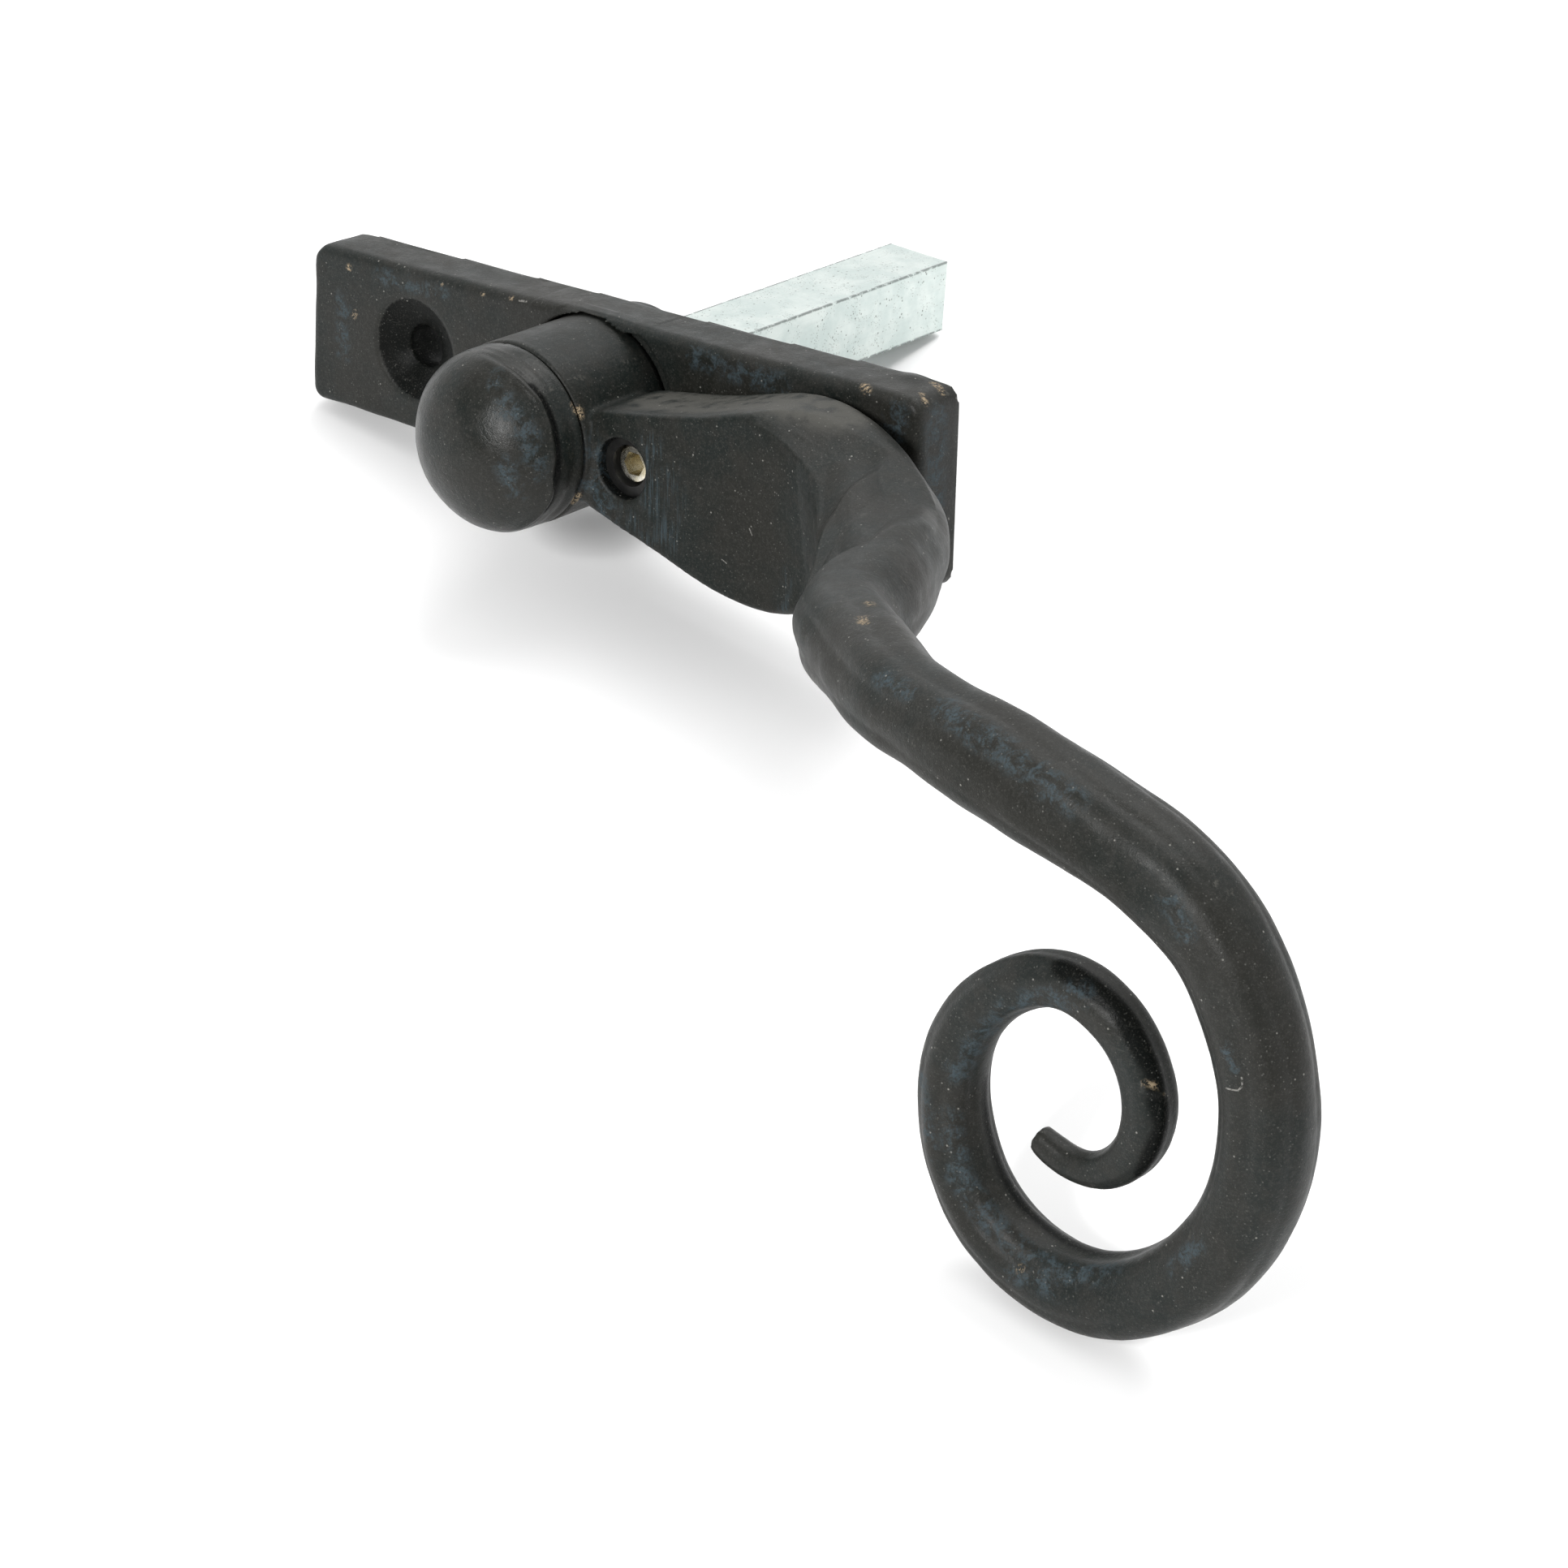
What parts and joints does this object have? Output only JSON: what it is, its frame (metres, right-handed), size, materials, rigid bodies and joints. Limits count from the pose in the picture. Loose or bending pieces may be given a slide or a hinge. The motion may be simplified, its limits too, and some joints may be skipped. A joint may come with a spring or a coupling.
{
  "type": "casement window fastener",
  "caption": "Locking window fastener handle: rectangular plate, domed hub, blade with a key-turned lock screw, cranked arm ending in a scroll, and a square drive spindle.",
  "frame": {"origin": "on the spindle axis, in the plane of the back plate's mounting face, midway between the two fixing holes", "axes": "+Y along the spindle into the window, -Y towards the hand; +X along the plate's long side towards the scroll; +Z along the plate's short side"},
  "size_m": [0.1414, 0.0955, 0.0475],
  "materials": {
    "waxed_iron": "satin beeswax over blackened forged iron, hand-hammered",
    "zinc_steel": "bright zinc plated, drawn bar, fine pitting",
    "black_nylon": "matt moulded nylon",
    "spring_steel": "oiled spring steel",
    "blackened_steel": "chemically blackened, waxed",
    "screw_steel": "black oxide set screw",
    "nickel_brass": "worn nickel over brass, socket screw"
  },
  "bodies": {
    "base": {"backplate": "waxed_iron", "bearing_bush": "black_nylon", "wave_washer": "spring_steel"},
    "lever": {"lever": "waxed_iron", "dome_cap": "waxed_iron", "spindle": "zinc_steel", "spindle_set_screw": "screw_steel", "retaining_disc": "blackened_steel", "circlip": "spring_steel", "lock_sleeve": "blackened_steel"},
    "lock": {"lock_screw": "nickel_brass"}
  },
  "joints": [
    {"name": "lever_turn", "type": "hinge", "parent": "base", "child": "lever", "pos_m": [0, 0, 0], "axis": [0, -1, 0], "range_deg": [0, 90]},
    {"name": "lock_travel", "type": "slide", "parent": "lever", "child": "lock", "axis": [0, 1, 0], "range_m": [0, 0.003]}
  ]
}
